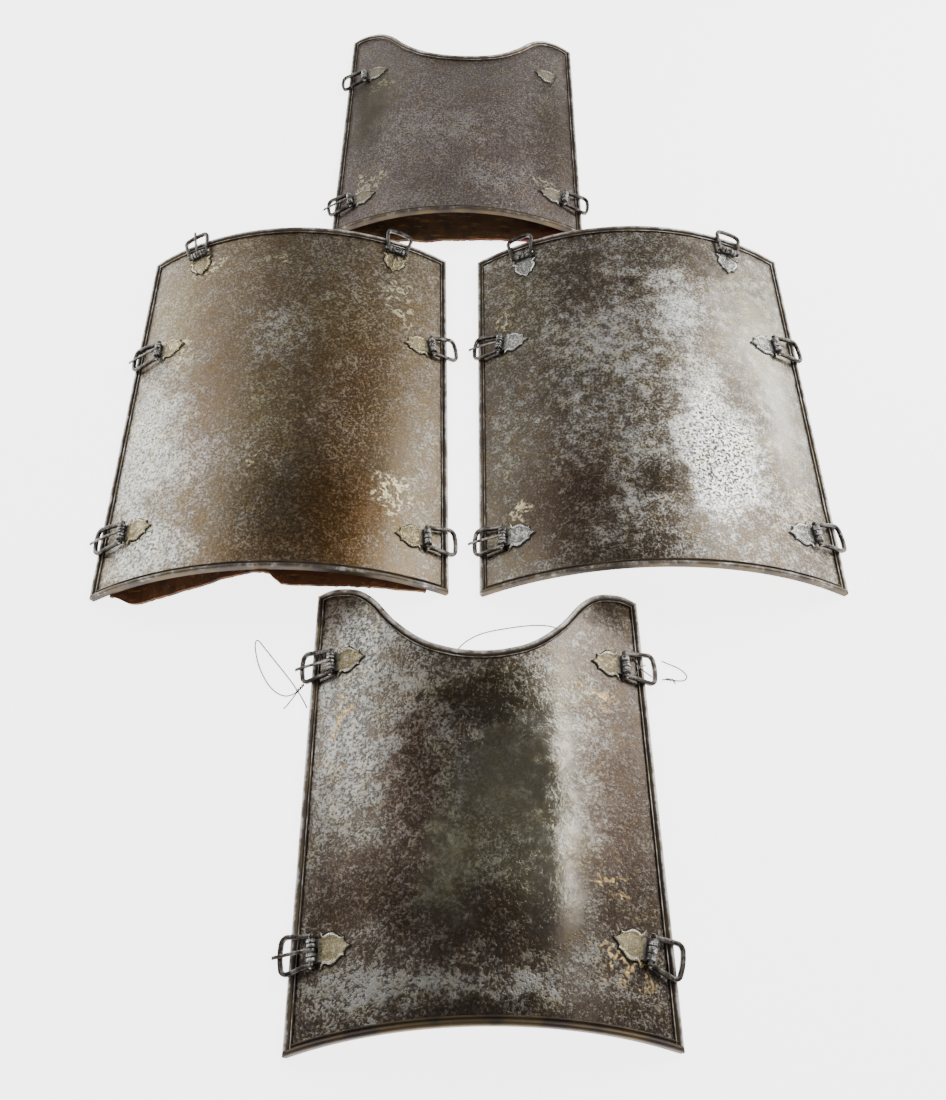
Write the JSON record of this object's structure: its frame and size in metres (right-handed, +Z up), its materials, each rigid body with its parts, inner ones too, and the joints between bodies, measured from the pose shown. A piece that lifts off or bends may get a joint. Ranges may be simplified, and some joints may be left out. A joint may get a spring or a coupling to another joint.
{
  "type": "mirror armour",
  "caption": "Mirror armour laid flat: curved iron chest, back and side plates with moulded rims, hinged buckle frames on arrow-head fittings, and worn linings.",
  "frame": {"origin": "on the table under the middle of the layout's box", "axes": "+Z up; +Y up the plates, from the plate nearest the viewer to the furthest; +X to the viewer's right"},
  "size_m": [0.4698, 0.8254, 0.0383],
  "materials": {
    "plate": "worn, pitted dark iron",
    "rim": "worn iron moulding",
    "lining": "stiff worn cloth, brown with a dark red layer",
    "leaf": "silvery iron with worn gilding",
    "frame": "dark brown-grey forged iron",
    "tongue": "dark brown-grey forged iron"
  },
  "bodies": {
    "plates": {"left_leaf_low_left": "leaf", "left_leaf_low_right": "leaf", "left_leaf_mid_left": "leaf", "left_leaf_mid_right": "leaf", "left_leaf_top_left": "leaf", "left_leaf_top_right": "leaf", "left_lining": "lining", "left_plate": "plate", "left_rim": "rim", "lower_leaf_high_left": "leaf", "lower_leaf_high_right": "leaf", "lower_leaf_low_left": "leaf", "lower_leaf_low_right": "leaf", "lower_plate": "plate", "lower_rim": "rim", "right_leaf_low_left": "leaf", "right_leaf_low_right": "leaf", "right_leaf_mid_left": "leaf", "right_leaf_mid_right": "leaf", "right_leaf_top_left": "leaf", "right_leaf_top_right": "leaf", "right_plate": "plate", "right_rim": "rim", "upper_leaf_high_left": "leaf", "upper_leaf_high_right": "leaf", "upper_leaf_low_left": "leaf", "upper_leaf_low_right": "leaf", "upper_lining": "lining", "upper_plate": "plate", "upper_rim": "rim"},
    "left_frame_low_left": {"left_frame_low_left": "frame"},
    "left_frame_low_right": {"left_frame_low_right": "frame"},
    "left_frame_mid_left": {"left_frame_mid_left": "frame"},
    "left_frame_mid_right": {"left_frame_mid_right": "frame"},
    "left_frame_top_left": {"left_frame_top_left": "frame"},
    "left_frame_top_right": {"left_frame_top_right": "frame"},
    "left_tongue_low_left": {"left_tongue_low_left": "tongue"},
    "left_tongue_mid_left": {"left_tongue_mid_left": "tongue"},
    "left_tongue_top_left": {"left_tongue_top_left": "tongue"},
    "left_tongue_top_right": {"left_tongue_top_right": "tongue"},
    "lower_frame_high_left": {"lower_frame_high_left": "frame"},
    "lower_frame_high_right": {"lower_frame_high_right": "frame"},
    "lower_frame_low_left": {"lower_frame_low_left": "frame"},
    "lower_frame_low_right": {"lower_frame_low_right": "frame"},
    "lower_tongue_high_left": {"lower_tongue_high_left": "tongue"},
    "lower_tongue_low_left": {"lower_tongue_low_left": "tongue"},
    "right_frame_low_left": {"right_frame_low_left": "frame"},
    "right_frame_low_right": {"right_frame_low_right": "frame"},
    "right_frame_mid_left": {"right_frame_mid_left": "frame"},
    "right_frame_mid_right": {"right_frame_mid_right": "frame"},
    "right_frame_top_left": {"right_frame_top_left": "frame"},
    "right_frame_top_right": {"right_frame_top_right": "frame"},
    "right_tongue_low_left": {"right_tongue_low_left": "tongue"},
    "right_tongue_mid_left": {"right_tongue_mid_left": "tongue"},
    "right_tongue_top_right": {"right_tongue_top_right": "tongue"},
    "upper_frame_high_left": {"upper_frame_high_left": "frame"},
    "upper_frame_low_left": {"upper_frame_low_left": "frame"},
    "upper_frame_low_right": {"upper_frame_low_right": "frame"},
    "upper_tongue_low_left": {"upper_tongue_low_left": "tongue"}
  },
  "joints": [
    {"name": "left_frame_low_left_hinge", "type": "hinge", "parent": "plates", "child": "left_frame_low_left", "pos_m": [-0.21061, -0.12152, 0.01464], "axis": [-0.0497, 0.9986, -0.017], "range_deg": [0, 150]},
    {"name": "left_frame_low_right_hinge", "type": "hinge", "parent": "plates", "child": "left_frame_low_right", "pos_m": [-0.0233, -0.12363, 0.01268], "axis": [0.0643, -0.9976, -0.0264], "range_deg": [0, 150]},
    {"name": "left_frame_mid_left_hinge", "type": "hinge", "parent": "plates", "child": "left_frame_mid_left", "pos_m": [-0.21216, 0.02848, 0.01537], "axis": [-0.0345, 0.9994, -0.0084], "range_deg": [0, 150]},
    {"name": "left_frame_mid_right_hinge", "type": "hinge", "parent": "plates", "child": "left_frame_mid_right", "pos_m": [-0.02369, 0.0372, 0.01107], "axis": [0.1527, -0.9849, -0.0812], "range_deg": [0, 150]},
    {"name": "left_frame_top_left_hinge", "type": "hinge", "parent": "plates", "child": "left_frame_top_left", "pos_m": [-0.19397, 0.11354, 0.02475], "axis": [0.9064, 0.2082, 0.3676], "range_deg": [0, 150]},
    {"name": "left_frame_top_right_hinge", "type": "hinge", "parent": "plates", "child": "left_frame_top_right", "pos_m": [-0.05076, 0.11839, 0.02402], "axis": [0.9201, -0.0869, -0.3819], "range_deg": [0, 150]},
    {"name": "left_tongue_low_left_hinge", "type": "hinge", "parent": "left_frame_low_left", "child": "left_tongue_low_left", "pos_m": [-0.21061, -0.12152, 0.01464], "axis": [0.0497, -0.9986, 0.017], "range_deg": [-120, 0]},
    {"name": "left_tongue_mid_left_hinge", "type": "hinge", "parent": "left_frame_mid_left", "child": "left_tongue_mid_left", "pos_m": [-0.21216, 0.02848, 0.01537], "axis": [0.0345, -0.9994, 0.0084], "range_deg": [-120, 0]},
    {"name": "left_tongue_top_left_hinge", "type": "hinge", "parent": "left_frame_top_left", "child": "left_tongue_top_left", "pos_m": [-0.19397, 0.11354, 0.02475], "axis": [-0.9064, -0.2082, -0.3676], "range_deg": [-120, 0]},
    {"name": "left_tongue_top_right_hinge", "type": "hinge", "parent": "plates", "child": "left_tongue_top_right", "pos_m": [-0.05076, 0.11839, 0.02402], "axis": [-0.9201, 0.0869, 0.3819], "range_deg": [0, 147]},
    {"name": "lower_frame_high_left_hinge", "type": "hinge", "parent": "plates", "child": "lower_frame_high_left", "pos_m": [-0.07677, -0.20784, 0.01079], "axis": [-0.0417, 0.999, -0.0156], "range_deg": [0, 150]},
    {"name": "lower_frame_high_right_hinge", "type": "hinge", "parent": "plates", "child": "lower_frame_high_right", "pos_m": [0.09148, -0.20968, 0.01075], "axis": [0.0105, -0.9999, 0], "range_deg": [0, 150]},
    {"name": "lower_frame_low_left_hinge", "type": "hinge", "parent": "plates", "child": "lower_frame_low_left", "pos_m": [-0.07493, -0.36613, 0.01088], "axis": [-0.0729, 0.9969, -0.0311], "range_deg": [0, 150]},
    {"name": "lower_frame_low_right_hinge", "type": "hinge", "parent": "plates", "child": "lower_frame_low_right", "pos_m": [0.09212, -0.36618, 0.01124], "axis": [-0.2372, -0.9638, 0.1217], "range_deg": [0, 150]},
    {"name": "lower_tongue_high_left_hinge", "type": "hinge", "parent": "lower_frame_high_left", "child": "lower_tongue_high_left", "pos_m": [-0.07677, -0.20784, 0.01079], "axis": [0.0417, -0.999, 0.0156], "range_deg": [-120, 0]},
    {"name": "lower_tongue_low_left_hinge", "type": "hinge", "parent": "lower_frame_low_left", "child": "lower_tongue_low_left", "pos_m": [-0.07493, -0.36613, 0.01088], "axis": [0.0729, -0.9969, 0.0311], "range_deg": [-120, 0]},
    {"name": "right_frame_low_left_hinge", "type": "hinge", "parent": "plates", "child": "right_frame_low_left", "pos_m": [0.02241, -0.12382, 0.01347], "axis": [0.0438, 0.9987, 0.0258], "range_deg": [0, 150]},
    {"name": "right_frame_low_right_hinge", "type": "hinge", "parent": "plates", "child": "right_frame_low_right", "pos_m": [0.21511, -0.12248, 0.01417], "axis": [0.1234, -0.9901, -0.0677], "range_deg": [0, 150]},
    {"name": "right_frame_mid_left_hinge", "type": "hinge", "parent": "plates", "child": "right_frame_mid_left", "pos_m": [0.02248, 0.03748, 0.01367], "axis": [0.1045, 0.9927, 0.0598], "range_deg": [0, 150]},
    {"name": "right_frame_mid_right_hinge", "type": "hinge", "parent": "plates", "child": "right_frame_mid_right", "pos_m": [0.21395, 0.03411, 0.01466], "axis": [0.1237, -0.9901, -0.067], "range_deg": [0, 150]},
    {"name": "right_frame_top_left_hinge", "type": "hinge", "parent": "plates", "child": "right_frame_top_left", "pos_m": [0.04005, 0.11511, 0.0225], "axis": [0.9126, 0.0887, 0.3992], "range_deg": [0, 150]},
    {"name": "right_frame_top_right_hinge", "type": "hinge", "parent": "plates", "child": "right_frame_top_right", "pos_m": [0.18905, 0.11517, 0.02611], "axis": [0.9324, -0.0681, -0.355], "range_deg": [0, 150]},
    {"name": "right_tongue_low_left_hinge", "type": "hinge", "parent": "right_frame_low_left", "child": "right_tongue_low_left", "pos_m": [0.02241, -0.12382, 0.01347], "axis": [-0.0438, -0.9987, -0.0258], "range_deg": [-120, 0]},
    {"name": "right_tongue_mid_left_hinge", "type": "hinge", "parent": "right_frame_mid_left", "child": "right_tongue_mid_left", "pos_m": [0.02248, 0.03748, 0.01367], "axis": [-0.1045, -0.9927, -0.0598], "range_deg": [-120, 0]},
    {"name": "right_tongue_top_right_hinge", "type": "hinge", "parent": "plates", "child": "right_tongue_top_right", "pos_m": [0.18905, 0.11517, 0.02611], "axis": [-0.9324, 0.0681, 0.355], "range_deg": [0, 148]},
    {"name": "upper_frame_high_left_hinge", "type": "hinge", "parent": "plates", "child": "upper_frame_high_left", "pos_m": [-0.0884, 0.35166, 0.01123], "axis": [-0.087, 0.9953, -0.042], "range_deg": [0, 150]},
    {"name": "upper_frame_low_left_hinge", "type": "hinge", "parent": "plates", "child": "upper_frame_low_left", "pos_m": [-0.09092, 0.19118, 0.01073], "axis": [-0.1184, 0.9913, -0.0567], "range_deg": [0, 150]},
    {"name": "upper_frame_low_right_hinge", "type": "hinge", "parent": "plates", "child": "upper_frame_low_right", "pos_m": [0.07576, 0.19352, 0.01082], "axis": [-0.1042, -0.9937, 0.0425], "range_deg": [0, 150]},
    {"name": "upper_tongue_low_left_hinge", "type": "hinge", "parent": "upper_frame_low_left", "child": "upper_tongue_low_left", "pos_m": [-0.09092, 0.19118, 0.01073], "axis": [0.1184, -0.9913, 0.0567], "range_deg": [-120, 0]}
  ]
}
